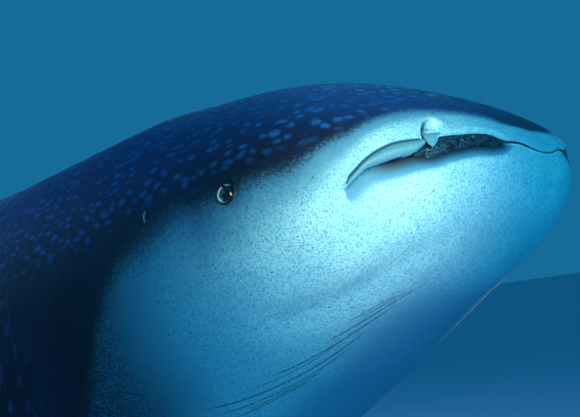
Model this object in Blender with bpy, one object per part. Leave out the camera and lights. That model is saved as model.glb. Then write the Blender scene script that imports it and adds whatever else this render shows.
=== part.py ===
import math

import bmesh
import bpy
import numpy as np

for old in list(bpy.data.objects):
    bpy.data.objects.remove(old, do_unlink=True)

# Overall size and pose
LENGTH = 8.0                      # snout tip to tail tip along the body, metres
PITCH = math.radians(8.0)         # nose up
SWEEP = math.radians(11.0)        # heading change through the trunk
COUNTER = math.radians(24.0)      # heading change back through the tail
GAP = 0.0003                      # clearance between neighbouring nodes

# Body outline, every value a fraction of LENGTH
NOSE_W, NOSE_U, NOSE_L = (0.0582, 2.628), (0.0885, 1.541), (0.0743, 2.568)
STATIONS = [0, .03, .06, .12, .20, .30, .42, .55, .70, .80, .845]
HALF_W = [.0627, .0634, .0646, .0715, .0800, .0830, .0770, .0580, .0320, .0180, .0062]
HALF_U = [.0400, .0475, .0526, .0595, .0655, .0710, .0690, .0560, .0320, .0190, .0120]
HALF_L = [.0305, .0315, .0364, .0574, .0645, .0690, .0650, .0520, .0290, .0170, .0110]
AXIS_S = [0, .003, .010, .03, .08, .20, .80]
AXIS_Z = [0, .0029, .0026, .0004, -.0089, -.012, 0]
ROUND_U, ROUND_L = 2.2975, 2.2434

HEAD_END, GILL_END, TRUNK_END, BACK_END, STALK_END = .125, .262, .42, .60, .845

# Mouth line: distance from the middle against height from the snout tip, metres
MOUTH_Y = [0, .050, .110, .160, .235, .300, .350, .413, .4385]
MOUTH_Z = [-.0070, -.0030, .0080, .0088, .0142, .0128, .0045, -.0010, -.0226]
CORNER_Y = MOUTH_Y[-1]
OPEN_FRONT, OPEN_SIDE, LIP_GAP = .0175, .0240, .0015
FOLD_START, FOLD_HALF, FOLD_SWELL = .337, .0060, .0075
CHIN_BACK, CHIN_DEPTH = -.42, -.32

# Eyes, spiracles, nostrils: station, angle above the widest line
EYE_S, EYE_A, EYE_R = .0453, math.radians(8.0), .0170
SPIRACLE_S, SPIRACLE_A = .0704, math.radians(15.0)
NOSTRIL_S, NOSTRIL_A = .0077, math.radians(16.0)

# Gills and ridges
GILL_SLITS = [.158, .1745, .191, .2075, .224]
RIDGES = [(62.0, .145, .0026), (38.0, .165, .0028), (10.0, .195, .0030)]
RIDGE_HALF = 4.6

# Stand
BASE_LENGTH, BASE_WIDTH, BASE_THICK = 3.3, 1.7, .05
ROD_R = .042
ROD_STATIONS = (.285, .47)
TAIL_CLEAR = .10


def profile(xs, ys):
    xs, ys = np.array(xs, float), np.array(ys, float)
    h, d = np.diff(xs), np.diff(ys) / np.diff(xs)
    m = np.zeros(len(xs))
    for k in range(1, len(xs) - 1):
        if d[k - 1] * d[k] > 0:
            a, b = 2 * h[k] + h[k - 1], h[k] + 2 * h[k - 1]
            m[k] = (a + b) / (a / d[k - 1] + b / d[k])
    m[0], m[-1] = d[0], d[-1]

    def value(x):
        x = np.clip(np.asarray(x, float), xs[0], xs[-1])
        i = np.clip(np.searchsorted(xs, x, side="right") - 1, 0, len(h) - 1)
        t = (x - xs[i]) / h[i]
        return (ys[i] * (1 + 2 * t) * (1 - t) ** 2 + m[i] * h[i] * t * (1 - t) ** 2
                + ys[i + 1] * t * t * (3 - 2 * t) - m[i + 1] * h[i] * t * t * (1 - t))
    return value


width_at = profile(STATIONS, HALF_W)
upper_at = profile(STATIONS, HALF_U)
lower_at = profile(STATIONS, HALF_L)
axis_at = profile(AXIS_S, AXIS_Z)


def nose(s, shape):
    q = max(1 - s / shape[0], 0.0)
    return (1 - q ** shape[1]) ** (1 / shape[1])


def ramp(x, a, b):
    t = min(max((x - a) / (b - a), 0.0), 1.0)
    return t * t * (3 - 2 * t)


def bump(x, half):
    return max(0.0, 1 - (x / half) ** 2) ** 2


def relief(s, deg):
    """Height of ridges and gill flaps above the plain flank, a fraction of LENGTH."""
    side = 180 - deg if 90 < deg < 270 else (deg - 360 if deg >= 270 else deg)
    out = 0.0
    for level, start, height in RIDGES:
        if level < 20:
            level *= 1 - ramp(s, .50, .72)
            height *= 1 + 1.9 * ramp(s, .60, .74)
        rise = ramp(s, start, start + .07) * (1 - .9 * ramp(s, .80, .84))
        if level > 20:
            rise *= 1 - .75 * ramp(s, .50, .78)
        out += height * rise * bump(side - level, RIDGE_HALF)
    out += .0018 * ramp(s, .12, .20) * (1 - ramp(s, .78, .83)) * bump(side - 90, 6.0)
    tall = ramp(side, -50, -38) * (1 - ramp(side, 22, 32))
    for slit in GILL_SLITS:
        if slit - .013 < s <= slit:
            out += .0020 * tall * ramp(s, slit - .013, slit)
        elif slit < s < slit + .006:
            out -= .0022 * tall * (1 - ramp(s, slit + .0009, slit + .006))
    return out


def skin_point(s, deg, grow=0.0):
    a = math.radians(deg)
    c, n = math.cos(a), math.sin(a)
    e = 2 / (ROUND_U if n >= 0 else ROUND_L)
    up = n >= 0
    w = float(width_at(s)) * nose(s, NOSE_W)
    h = (float(upper_at(s)) * nose(s, NOSE_U)) if up else (float(lower_at(s)) * nose(s, NOSE_L))
    lift = relief(s, deg) + grow / LENGTH
    y = w * math.copysign(abs(c) ** e, c) + lift * c
    z = float(axis_at(s)) + h * math.copysign(abs(n) ** e, n) + lift * n
    return np.array([-s, y, z]) * LENGTH


def heading(s):
    return SWEEP * ramp(s, .24, .66) - COUNTER * ramp(s, .58, .98)


PATH_S = np.linspace(.20, 1.05, 341)
PATH = np.zeros((len(PATH_S), 2))
PATH[0] = (-PATH_S[0] * LENGTH, 0.0)
for k in range(1, len(PATH_S)):
    turn = heading((PATH_S[k] + PATH_S[k - 1]) / 2)
    step = (PATH_S[k] - PATH_S[k - 1]) * LENGTH
    PATH[k] = PATH[k - 1] + step * np.array([-math.cos(turn), math.sin(turn)])


def place(p):
    """Straight body frame to the posed model: swimming bend, then nose up, then snout to -Y."""
    x, y, z = p
    s = -x / LENGTH
    if s > PATH_S[0]:
        cx = np.interp(s, PATH_S, PATH[:, 0])
        cy = np.interp(s, PATH_S, PATH[:, 1])
        turn = heading(s)
        x, y = cx + y * math.sin(turn), cy + y * math.cos(turn)
    x, z = x * math.cos(PITCH) - z * math.sin(PITCH), x * math.sin(PITCH) + z * math.cos(PITCH)
    return np.array([y, -x, z])


def material(name, color, rough, metal=0.0):
    mat = bpy.data.materials.new(name)
    mat.use_nodes = True
    shader = mat.node_tree.nodes["Principled BSDF"]
    shader.inputs["Base Color"].default_value = (*color, 1.0)
    shader.inputs["Roughness"].default_value = rough
    shader.inputs["Metallic"].default_value = metal
    mat.diffuse_color = (*color, 1.0)
    return mat


BACK_SKIN = material("back_skin", (.035, .075, .16), .55)
BELLY_SKIN = material("belly_skin", (.56, .70, .74), .55)
EYE_GLOSS = material("eye_gloss", (.012, .012, .016), .12)
STAND_PAINT = material("stand_paint", (.16, .17, .18), .45)
STAND_STEEL = material("stand_steel", (.62, .63, .65), .30, 1.0)


def solid(name, points, faces, mat=None):
    mesh = bpy.data.meshes.new(name)
    mesh.from_pydata([tuple(p) for p in points], [], faces)
    obj = bpy.data.objects.new(name, mesh)
    bpy.context.collection.objects.link(obj)
    tidy(obj, largest=False)
    if mat:
        mesh.materials.append(mat)
    return obj


def tidy(obj, largest=True):
    bm = bmesh.new()
    bm.from_mesh(obj.data)
    bmesh.ops.remove_doubles(bm, verts=bm.verts, dist=1e-7)
    bmesh.ops.triangulate(bm, faces=bm.faces)
    if largest:
        left, best, best_size = set(bm.faces), None, -1.0
        while left:
            seed = left.pop()
            shell, queue = {seed}, [seed]
            while queue:
                for edge in queue.pop().edges:
                    for face in edge.link_faces:
                        if face in left:
                            left.discard(face)
                            shell.add(face)
                            queue.append(face)
            size = abs(sum(f.verts[0].co.dot(f.verts[1].co.cross(f.verts[2].co)) for f in shell))
            if size > best_size:
                best, best_size = shell, size
        bmesh.ops.delete(bm, geom=[f for f in bm.faces if f not in best], context="FACES")
        bmesh.ops.delete(bm, geom=[v for v in bm.verts if not v.link_faces], context="VERTS")
    bmesh.ops.recalc_face_normals(bm, faces=bm.faces)
    bm.to_mesh(obj.data)
    bm.free()
    obj.data.update()


def apply_cut(obj, mod):
    bpy.context.view_layer.update()
    graph = bpy.context.evaluated_depsgraph_get()
    mesh = bpy.data.meshes.new_from_object(obj.evaluated_get(graph))
    obj.modifiers.remove(mod)
    mats = [m for m in obj.data.materials]
    obj.data = mesh
    mesh.materials.clear()
    for m in mats:
        mesh.materials.append(m)
    for poly in mesh.polygons:
        poly.material_index = 0


def combine(obj, other, operation):
    mod = obj.modifiers.new("cut", "BOOLEAN")
    mod.operation, mod.solver, mod.object = operation, "EXACT", other
    apply_cut(obj, mod)
    bpy.data.objects.remove(other, do_unlink=True)
    tidy(obj)
    return obj


def combine_all(obj, others, operation):
    """One Boolean with every piece of a collection, which is then emptied."""
    group = bpy.data.collections.new("pieces")
    bpy.context.scene.collection.children.link(group)
    for other in others:
        group.objects.link(other)
    mod = obj.modifiers.new("cut", "BOOLEAN")
    mod.operation, mod.solver = operation, "EXACT"
    mod.operand_type, mod.collection = "COLLECTION", group
    apply_cut(obj, mod)
    for other in others:
        bpy.data.objects.remove(other, do_unlink=True)
    bpy.data.collections.remove(group)
    tidy(obj)
    return obj


def loft(name, rings, mat=None, tip=None, closed=False):
    """Skin over rings of equal count; a tip point closes the start, flat faces close the rest."""
    n, points, faces = len(rings[0]), [], []
    for ring in rings:
        points.extend(ring)
    for i in range(len(rings) if closed else len(rings) - 1):
        for j in range(n):
            a, b = i * n + j, i * n + (j + 1) % n
            c, d = ((i + 1) % len(rings)) * n + (j + 1) % n, ((i + 1) % len(rings)) * n + j
            faces.append((a, b, c, d))
    if not closed:
        if tip is None:
            faces.append(tuple(range(n))[::-1])
        else:
            points.append(tip)
            faces.extend((len(points) - 1, (j + 1) % n, j) for j in range(n))
        faces.append(tuple(range((len(rings) - 1) * n, len(rings) * n)))
    return solid(name, points, faces, mat)


def mirrored(quarter_up, quarter_low):
    up = quarter_up + [180 - a for a in quarter_up[-2::-1]]
    left = [360 + a for a in quarter_low]
    right = [180 - a for a in quarter_low]
    return up + right[1:] + left[-2:0:-1]


def spread(a, b, count):
    return [a + (b - a) * k / count for k in range(count)]


HEAD_ANGLES = mirrored(spread(0, 28, 7) + spread(28, 90, 6) + [90],
                       spread(0, -12, 3) + spread(-12, -90, 7) + [-90])
TRUNK_ANGLES = mirrored([0, 5.4, 10, 14.6, 24, 33.4, 38, 42.6, 50, 57.4, 62, 66.6, 76, 84, 90],
                        spread(0, -90, 8) + [-90])


def trunk_angles(s):
    """Grid angles, shifted so that one line stays on the crest of the lowest ridge."""
    turn = ramp(s, .50, .72)
    crest = 10 * (1 - turn)
    marks = [-90, -20, -10, 0, 5.4, 10, 14.6, 24, 90]
    moved = [-90, -20, -10 - 4 * turn, -7 * turn, crest - 4.6, crest, crest + 4.6, 24, 90]
    out = []
    for a in TRUNK_ANGLES:
        right = 90 < a < 270
        side = 180 - a if right else (a - 360 if a >= 270 else a)
        side = float(np.interp(side, marks, moved))
        out.append(180 - side if right else side % 360)
    return out


def ring(s, angles, grow=0.0):
    return [skin_point(s, a, grow) for a in angles]


def trunk_stations():
    out = [HEAD_END]
    for slit in GILL_SLITS:
        out += [slit - .0125, slit - .005, slit, slit + .0009]
    out += [.232, .245, GILL_END]
    out += spread(GILL_END, TRUNK_END, 8)[1:] + spread(TRUNK_END, BACK_END, 9)
    out += spread(BACK_END, .80, 11) + [.80, .812, .823, .834, STALK_END]
    out.insert(1, .138)
    return sorted(set(round(s, 5) for s in out))


TRUNK = trunk_stations()


def trunk_piece(name, start, end, mat, grow=0.0):
    slip = GAP / 2 / LENGTH
    inner = [s for s in TRUNK if start + .001 < s < end - .0005]
    marks = [start + slip] + inner + [end - slip]
    return loft(name, [ring(s, trunk_angles(s), grow) for s in marks], mat)


def tube(name, centres, radii, sides=8, closed=False, flat=1.0):
    centres = [np.array(c, float) for c in centres]
    rings, last = [], None
    for i, c in enumerate(centres):
        before = centres[i - 1] if (i > 0 or closed) else c
        after = centres[(i + 1) % len(centres)] if (i < len(centres) - 1 or closed) else c
        t = (after - before) / np.linalg.norm(after - before)
        ref = last if last is not None else (np.array([0, 0, 1.0]) if abs(t[2]) < .9 else np.array([1.0, 0, 0]))
        u = ref - t * ref.dot(t)
        u /= np.linalg.norm(u)
        v = np.cross(t, u)
        last = u
        rings.append([c + radii[i] * (u * math.cos(q) + flat * v * math.sin(q))
                      for q in (2 * math.pi * k / sides for k in range(sides))])
    return loft(name, rings, closed=closed)


def ball(name, centre, axes, rows=8, cols=14, mat=None):
    """Ellipsoid with the three given half axes."""
    a, b, c = (np.array(v, float) for v in axes)
    rings = []
    for i in range(1, rows):
        q = math.pi * i / rows
        rings.append([centre + c * math.cos(q) + math.sin(q) * (a * math.cos(w) + b * math.sin(w))
                      for w in (2 * math.pi * k / cols for k in range(cols))])
    points = [p for r in rings for p in r] + [centre + c, centre - c]
    top, bottom, faces = len(points) - 2, len(points) - 1, []
    for i in range(len(rings) - 1):
        for j in range(cols):
            k = (j + 1) % cols
            faces.append((i * cols + j, i * cols + k, (i + 1) * cols + k, (i + 1) * cols + j))
    for j in range(cols):
        k = (j + 1) % cols
        faces.append((top, k, j))
        faces.append((bottom, (len(rings) - 1) * cols + j, (len(rings) - 1) * cols + k))
    return solid(name, points, faces, mat)


def local_axes(s, deg, left):
    """Surface point and outward, aft and upward directions there, on either side of the head."""
    a = deg if left else 180 - deg
    sign = 1 if left else -1
    p = skin_point(s, a)
    aft = skin_point(s + .0008, a) - skin_point(max(s - .0008, 1e-5), a)
    aft /= np.linalg.norm(aft)
    up = skin_point(s, a + sign * .6) - skin_point(s, a - sign * .6)
    up -= aft * up.dot(aft)
    up /= np.linalg.norm(up)
    out = np.cross(up, aft) if left else np.cross(aft, up)
    if out[1] * (1 if left else -1) < 0:
        out = -out
    return p, out / np.linalg.norm(out), aft, up


mouth_height = profile([-MOUTH_Y[1]] + MOUTH_Y, [MOUTH_Z[1]] + MOUTH_Z)


def where(y, z):
    """Station, and angle above the widest line, where the plain surface has this width and height."""
    low, high = 0.0, .10
    for _ in range(40):
        s = (low + high) / 2
        up = z / LENGTH > float(axis_at(s))
        half = float((upper_at if up else lower_at)(s)) * nose(s, NOSE_U if up else NOSE_L)
        power = ROUND_U if up else ROUND_L
        across = abs(y) / LENGTH / (float(width_at(s)) * nose(s, NOSE_W))
        above = abs(z / LENGTH - float(axis_at(s))) / half
        if across ** power + above ** power > 1:
            low = s
        else:
            high = s
    return high, math.degrees(math.asin(min(above ** (power / 2), 1.0))) * (1 if up else -1)


def mouth_point(y, lift=0.0):
    z = float(mouth_height(abs(y))) + lift
    return np.array([-where(y, z)[0] * LENGTH, y, z])


LIP = [mouth_point(CORNER_Y * math.sin(math.pi * k / 32)) for k in range(-16, 17)]
CORNER = LIP[-1]


def opening(y):
    r = abs(y) / CORNER_Y
    tall = OPEN_FRONT + (OPEN_SIDE - OPEN_FRONT) * ramp(r, .55, .72)
    return (tall * ramp(r, .34, .47) * (1 - ramp(r, .745, .83)) + LIP_GAP) * (r < 1.0)


def jaw_block(name, top, back):
    """Everything below the mouth line and ahead of the slope that runs down from its corners."""
    rings = []
    slope = (CHIN_BACK - CORNER[0]) / (CHIN_DEPTH - CORNER[2])
    for y in [-.72] + [p[1] for p in LIP] + [.72]:
        z = float(mouth_height(abs(y))) + top * max(opening(y) / 2, GAP / 2)
        x = CORNER[0] + slope * (z - CORNER[2]) + back
        low = CORNER[0] + slope * (-.8 - CORNER[2]) + back
        rings.append([np.array(q) for q in ((.4, y, z), (x, y, z), (low, y, -.8), (.4, y, -.8))])
    return loft(name, rings)


def lip_tube(name, side, sunk):
    centres, radii = [], []
    for p in LIP:
        inward = np.array([-.30, 0, p[2]]) - p
        inward /= np.linalg.norm(inward)
        fade = 1 - .55 * ramp(abs(p[1]) / CORNER_Y, .90, 1.0)
        centres.append(p + inward * sunk + np.array([0, 0, side * (opening(p[1]) / 2 + .0105 * fade)]))
        radii.append(.0115 * fade)
    return tube(name, centres, radii, 6)


def labial_fold(left):
    """Raised band over the corner of the mouth, from the nostril to the corner."""
    centres, radii = [], []
    for k in range(9):
        u = k / 8
        half = FOLD_HALF + FOLD_SWELL * math.sin(math.pi * min(u, .94))
        y = FOLD_START + (CORNER_Y - FOLD_START) * math.sin(math.pi * u / 2)
        s, a = where(y, float(mouth_height(y)) + half * .95)
        p, out, aft, up = local_axes(s, a, left)
        centres.append(p - out * half * .55)
        radii.append(half)
    return tube("fold", centres, radii, 6)


def nostril(left):
    """Swelling with a flap that hangs to the lip, and the slit behind it."""
    p, out, aft, up = local_axes(NOSTRIL_S, math.degrees(NOSTRIL_A), left)
    swell = ball("swell", p - out * .002, (aft * .0125, out * .0105, up * .0145), 8, 12)
    q, out, aft, up = local_axes(NOSTRIL_S + .0004, math.degrees(NOSTRIL_A) - 12, left)
    flap = ball("flap", q - out * .001, (aft * .0085, out * .0065, up * .0200), 6, 8)
    r, out, aft, up = local_axes(NOSTRIL_S + .0008, math.degrees(NOSTRIL_A) - 6, left)
    lean = (up - aft * .35) / np.linalg.norm(up - aft * .35)
    return [swell, flap], ball("slit", r, (aft * .0034, out * .0160, lean * .0150), 6, 8)


def spiracle(left):
    p, out, aft, up = local_axes(SPIRACLE_S, math.degrees(SPIRACLE_A), left)
    rim = [p + aft * .0055 * math.cos(q) + up * .0095 * math.sin(q)
           for q in (2 * math.pi * k / 12 for k in range(12))]
    return (tube("rim", rim, [.0028] * 12, 5, True),
            ball("pit", p, (aft * .0034, out * .0120, up * .0068), 6, 8))


def eye(left):
    p, out, aft, up = local_axes(EYE_S, math.degrees(EYE_A), left)
    centre = p - out * .0095
    rim = [p + out * .001 + (aft * 1.05 * math.cos(q) + up * .92 * math.sin(q)) * .0158
           for q in (2 * math.pi * k / 16 for k in range(16))]
    grown = EYE_R + GAP * 1.4
    return (tube("lid", rim, [.0046] * 16, 6, True),
            ball("socket", centre, (aft * grown, out * grown, up * grown), 8, 14),
            ball("eye_left" if left else "eye_right", centre,
                 (aft * EYE_R, out * EYE_R, up * EYE_R), 8, 14, EYE_GLOSS))


def head_node():
    marks = [HEAD_END * (k / 24) ** 2.3 for k in range(1, 25)]
    marks[-1] -= GAP / 2 / LENGTH
    head = loft("head", [ring(s, HEAD_ANGLES) for s in marks], BACK_SKIN, tip=skin_point(0.0, 0))
    jaw = head.copy()
    jaw.data = head.data.copy()
    jaw.name = "lower_jaw"
    bpy.context.collection.objects.link(jaw)
    added, taken, eyes = [lip_tube("lip", 1, .008)], [jaw_block("block", 1, -GAP / 2)], []
    for left in (False, True):
        swellings, slit = nostril(left)
        rim, pit = spiracle(left)
        lid, socket, ball_of_eye = eye(left)
        added += [labial_fold(left), rim, lid] + swellings
        taken += [slit, pit, socket]
        eyes.append(ball_of_eye)
    combine_all(head, added, "UNION")
    combine_all(head, taken, "DIFFERENCE")
    combine_all(jaw, [lip_tube("lip", -1, .0105)], "UNION")
    combine(jaw, jaw_block("block", -1, GAP / 2), "INTERSECT")
    jaw.data.materials.clear()
    jaw.data.materials.append(BELLY_SKIN)
    return [head, jaw] + eyes


def foil(lead, chord, half, span_dir, chord_dir, thick_dir, steps=6):
    """Closed section of a fin: blunt ahead, thickest at a third, thin but square behind."""
    marks = [0, .03, .12, .30, .55, .80, 1.0][:steps + 1]
    edge = max(.0016, .10 * half)
    shape = [0, .46, .80, 1.0, .84, .46, 0]
    upper = [lead + chord_dir * chord * u + thick_dir * (half * v + edge * min(1, u * 6))
             for u, v in zip(marks, shape)]
    lower = [lead + chord_dir * chord * u - thick_dir * (half * v + edge * min(1, u * 6))
             for u, v in zip(marks, shape)]
    return upper + lower[:0:-1]


def fin(name, root, span_dir, span, chord, sweep, thick, curve, depth, mat, rows=9, tip=.13, taper=.80,
        bend=1.22):
    """Lofted fin. root is the front of the base; depth is how far the blade starts inside the body."""
    chord_dir = np.array([-1.0, 0, 0])
    span_dir = span_dir / np.linalg.norm(span_dir)
    thick_dir = np.cross(span_dir, chord_dir)
    thick_dir /= np.linalg.norm(thick_dir)
    rings = []
    for k in range(-1, rows + 1):
        t = 0 if k < 0 else (k / rows) ** .9
        flare = math.exp(-t / .05)
        lead = root + span_dir * (span * t - (depth if k < 0 else 0)) + chord_dir * sweep * t ** bend
        wide = chord * (1 - t) ** taper * (1 - curve * math.sin(math.pi * min(1, t * 1.15) ** .62))
        wide = max(wide, chord * tip * (1 - .62 * max(0, t - .9) / .1))
        half = thick * chord * (1 - .80 * t ** .8) / 2 * (1 + .45 * flare)
        if t > .93:
            lead = lead + chord_dir * chord * tip * .30 * (t - .93) / .07
        rings.append(foil(lead - chord_dir * .05 * chord * flare, wide * (1 + .07 * flare), half,
                          span_dir, chord_dir, thick_dir))
    return loft(name, rings, mat)


def body_copy(start, end):
    """Plain copy of the trunk, one clearance larger, for trimming what stands on it."""
    marks = [s for s in TRUNK if start - .0005 < s < end + .0005]
    return loft("trim", [ring(s, trunk_angles(s), GAP * 1.15) for s in marks])


def seated(obj, start, end):
    return combine(obj, body_copy(start, end), "DIFFERENCE")


def flank(s, deg):
    return skin_point(s, deg)


def paired_fin(name, left, s, deg, drop, **shape):
    side = 1 if left else -1
    root = flank(s + .012, deg if left else 180 - deg)
    root[0] = -s * LENGTH
    span_dir = np.array([0, side * math.cos(drop), -math.sin(drop)])
    return fin(name, root - span_dir * .02, span_dir, **shape)


def caudal_node():
    lead_at = profile([-.115, -.09, -.06, -.03, -.012, .014, .05, .10, .15, .19],
                      [.882, .863, .841, .819, .806, .804, .838, .886, .933, .974])
    trail_at = profile([-.115, -.09, -.06, -.03, 0, .05, .10, .15, .19],
                       [.897, .890, .882, .877, .884, .908, .944, .975, .988])
    levels = [-.115, -.108, -.093, -.074, -.054, -.036, -.022, -.012, 0, .014,
              .03, .05, .075, .10, .125, .15, .17, .183, .19]
    rings = []
    for z in levels:
        far = z / .19 if z > 0 else -z / .115
        half = .0074 * math.exp(-abs(z) / .024) + .0034 * (1 - far) + .0009
        lead, trail = float(lead_at(z)), float(trail_at(z))
        if far > .95:
            half, trail = half * .7, trail - .25 * (trail - lead)
        rings.append(foil(np.array([-lead, 0, z]) * LENGTH, (trail - lead) * LENGTH, half * LENGTH,
                          np.array([0, 0, 1.0]), np.array([-1.0, 0, 0]), np.array([0, 1.0, 0])))
    return seated(loft("caudal_fin", rings, BACK_SKIN), .70, STALK_END)


def fins():
    up = np.array([0, 0, 1.0])
    out = [caudal_node()]

    def top(s):
        return skin_point(s, 90)[2]

    def bottom(s):
        return skin_point(s, 270)[2]

    out.append(seated(fin("first_dorsal_fin", np.array([-.452 * LENGTH, 0, top(.545) - .01]), up,
                          span=.690, chord=.80, sweep=.60, thick=.115, curve=.30, depth=.16,
                          mat=BACK_SKIN), .40, .60))
    out.append(seated(fin("second_dorsal_fin", np.array([-.660 * LENGTH, 0, top(.69) - .01]), up,
                          span=.270, chord=.30, sweep=.24, thick=.13, curve=.30, depth=.10,
                          mat=BACK_SKIN, rows=7), .60, .80))
    out.append(seated(fin("anal_fin", np.array([-.674 * LENGTH, 0, bottom(.70) + .01]), -up,
                          span=.280, chord=.27, sweep=.25, thick=.13, curve=.30, depth=.08,
                          mat=BELLY_SKIN, rows=7), .60, .80))
    for left in (False, True):
        side = "left" if left else "right"
        out.append(seated(paired_fin("pectoral_fin_" + side, left, .200, -30, math.radians(27),
                                     span=1.22, chord=.60, sweep=.82, thick=.13, curve=.04,
                                     depth=.16, mat=BACK_SKIN, rows=11, tip=.10, taper=.62,
                                     bend=1.35), HEAD_END, .42))
        out.append(seated(paired_fin("pelvic_fin_" + side, left, .520, -50, math.radians(40),
                                     span=.36, chord=.33, sweep=.28, thick=.12, curve=.22,
                                     depth=.10, mat=BELLY_SKIN, rows=6), .42, .66))
    return out


def pose(objects):
    for obj in objects:
        for v in obj.data.vertices:
            v.co = place(np.array(v.co))
        obj.data.update()


def bounds(objects):
    pts = np.array([v.co[:] for o in objects for v in o.data.vertices])
    return pts.min(0), pts.max(0)


def shift(objects, offset):
    for obj in objects:
        for v in obj.data.vertices:
            v.co = np.array(v.co) + offset
        obj.data.update()


def posed_trim(offset):
    obj = body_copy(HEAD_END, STALK_END)
    pose([obj])
    shift([obj], offset)
    return obj


def slab(name, x, y, size_x, size_y, low, high, radius, mat, bevel=.008):
    rings = []
    for z, inset in ((low, 0), (high - bevel, 0), (high, bevel)):
        ring_points = []
        for cx, cy, start in ((1, 1, 0), (-1, 1, 90), (-1, -1, 180), (1, -1, 270)):
            for k in range(5):
                q = math.radians(start + 22.5 * k)
                ring_points.append(np.array([x + cx * (size_x / 2 - radius) + (radius - inset) * math.cos(q),
                                             y + cy * (size_y / 2 - radius) + (radius - inset) * math.sin(q), z]))
        rings.append(ring_points)
    return loft(name, rings, mat)


def rod(name, x, y, low, high, offset):
    rings = []
    for radius, z in ((.115, low), (.115, low + .012), (.105, low + .020), (.058, low + .022),
                      (.054, low + .060), (ROD_R, low + .070), (ROD_R, high)):
        rings.append([np.array([x + radius * math.cos(q), y + radius * math.sin(q), z])
                      for q in (2 * math.pi * k / 28 for k in range(28))])
    post = loft(name, rings, STAND_STEEL)
    return combine(post, posed_trim(offset), "DIFFERENCE")


def build():
    shark = head_node()
    shark.append(trunk_piece("gill_region", HEAD_END, GILL_END, BACK_SKIN))
    shark.append(trunk_piece("trunk_front", GILL_END, TRUNK_END, BACK_SKIN))
    shark.append(trunk_piece("trunk_rear", TRUNK_END, BACK_END, BACK_SKIN))
    shark.append(trunk_piece("tail_stalk", BACK_END, STALK_END, BACK_SKIN))
    shark.extend(fins())
    pose(shark)
    low, high = bounds(shark)
    offset = np.array([-(low[0] + high[0]) / 2, -(low[1] + high[1]) / 2, BASE_THICK + TAIL_CLEAR - low[2]])
    shift(shark, offset)
    ends = [place(np.array([-s * LENGTH, 0, 0])) + offset for s in ROD_STATIONS]
    middle = (ends[0] + ends[1]) / 2
    slab("stand_base", middle[0], middle[1] - .05, BASE_WIDTH, BASE_LENGTH, 0, BASE_THICK, .12, STAND_PAINT)
    for name, spot in zip(("stand_rod_front", "stand_rod_rear"), ends):
        rod(name, spot[0], spot[1], BASE_THICK + GAP, spot[2], offset)
    return offset


OFFSET = build()
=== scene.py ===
import math

import bpy
import numpy as np
from mathutils import Matrix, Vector
from mathutils.kdtree import KDTree


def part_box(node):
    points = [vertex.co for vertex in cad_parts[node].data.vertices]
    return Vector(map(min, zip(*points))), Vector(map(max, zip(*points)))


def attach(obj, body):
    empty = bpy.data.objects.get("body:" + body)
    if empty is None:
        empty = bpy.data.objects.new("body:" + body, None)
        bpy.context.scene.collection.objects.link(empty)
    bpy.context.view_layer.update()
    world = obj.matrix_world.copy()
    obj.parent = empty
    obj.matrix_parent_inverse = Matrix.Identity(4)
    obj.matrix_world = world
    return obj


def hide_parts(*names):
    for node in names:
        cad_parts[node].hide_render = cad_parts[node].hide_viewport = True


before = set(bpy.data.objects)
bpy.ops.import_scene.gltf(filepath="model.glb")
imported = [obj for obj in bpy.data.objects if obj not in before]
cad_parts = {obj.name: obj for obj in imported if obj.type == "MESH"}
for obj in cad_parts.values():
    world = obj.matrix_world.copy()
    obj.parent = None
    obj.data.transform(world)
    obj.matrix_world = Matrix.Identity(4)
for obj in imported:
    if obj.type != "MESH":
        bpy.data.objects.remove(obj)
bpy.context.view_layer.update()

# body outline: fractions of the length, the same values as the solids
body = {
    "length": 8.0, "noseUp": 8.0, "trunkSweep": 11.0, "tailCounter": 24.0,
    "noseWidth": (.0582, 2.628), "noseUpper": (.0885, 1.541), "noseLower": (.0743, 2.568),
    "stations": [0, .03, .06, .12, .20, .30, .42, .55, .70, .80, .845],
    "halfWidth": [.0627, .0634, .0646, .0715, .0800, .0830, .0770, .0580, .0320, .0180, .0062],
    "upper": [.0400, .0475, .0526, .0595, .0655, .0710, .0690, .0560, .0320, .0190, .0120],
    "lower": [.0305, .0315, .0364, .0574, .0645, .0690, .0650, .0520, .0290, .0170, .0110],
    "axisAt": [0, .003, .010, .03, .08, .20, .80],
    "axisHeight": [0, .0029, .0026, .0004, -.0089, -.012, 0],
    "roundUpper": 2.2975, "roundLower": 2.2434,
    "tailEnd": .845,
}
size = body["length"]


def profile(xs, ys):
    xs, ys = np.array(xs, float), np.array(ys, float)
    h, d = np.diff(xs), np.diff(ys) / np.diff(xs)
    m = np.zeros(len(xs))
    for k in range(1, len(xs) - 1):
        if d[k - 1] * d[k] > 0:
            a, b = 2 * h[k] + h[k - 1], h[k] + 2 * h[k - 1]
            m[k] = (a + b) / (a / d[k - 1] + b / d[k])
    m[0], m[-1] = d[0], d[-1]

    def value(x):
        x = np.clip(np.asarray(x, float), xs[0], xs[-1])
        i = np.clip(np.searchsorted(xs, x, side="right") - 1, 0, len(h) - 1)
        t = (x - xs[i]) / h[i]
        return (ys[i] * (1 + 2 * t) * (1 - t) ** 2 + m[i] * h[i] * t * (1 - t) ** 2
                + ys[i + 1] * t * t * (3 - 2 * t) - m[i + 1] * h[i] * t * t * (1 - t))
    return value


widthAt = profile(body["stations"], body["halfWidth"])
upperAt = profile(body["stations"], body["upper"])
lowerAt = profile(body["stations"], body["lower"])
axisAt = profile(body["axisAt"], body["axisHeight"])


def noseRound(s, shape):
    q = np.clip(1 - s / shape[0], 0, 1)
    return (1 - q ** shape[1]) ** (1 / shape[1])


def ramp(x, a, b):
    t = np.clip((x - a) / (b - a), 0, 1)
    return t * t * (3 - 2 * t)


def bumpOf(x, half):
    return np.clip(1 - (x / half) ** 2, 0, 1) ** 2


def tailRound(s):
    t = np.clip((s - body["tailEnd"] + .012) / .012, 0, 1)
    return np.sqrt(np.clip(1 - t * t, 0, 1))


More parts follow.
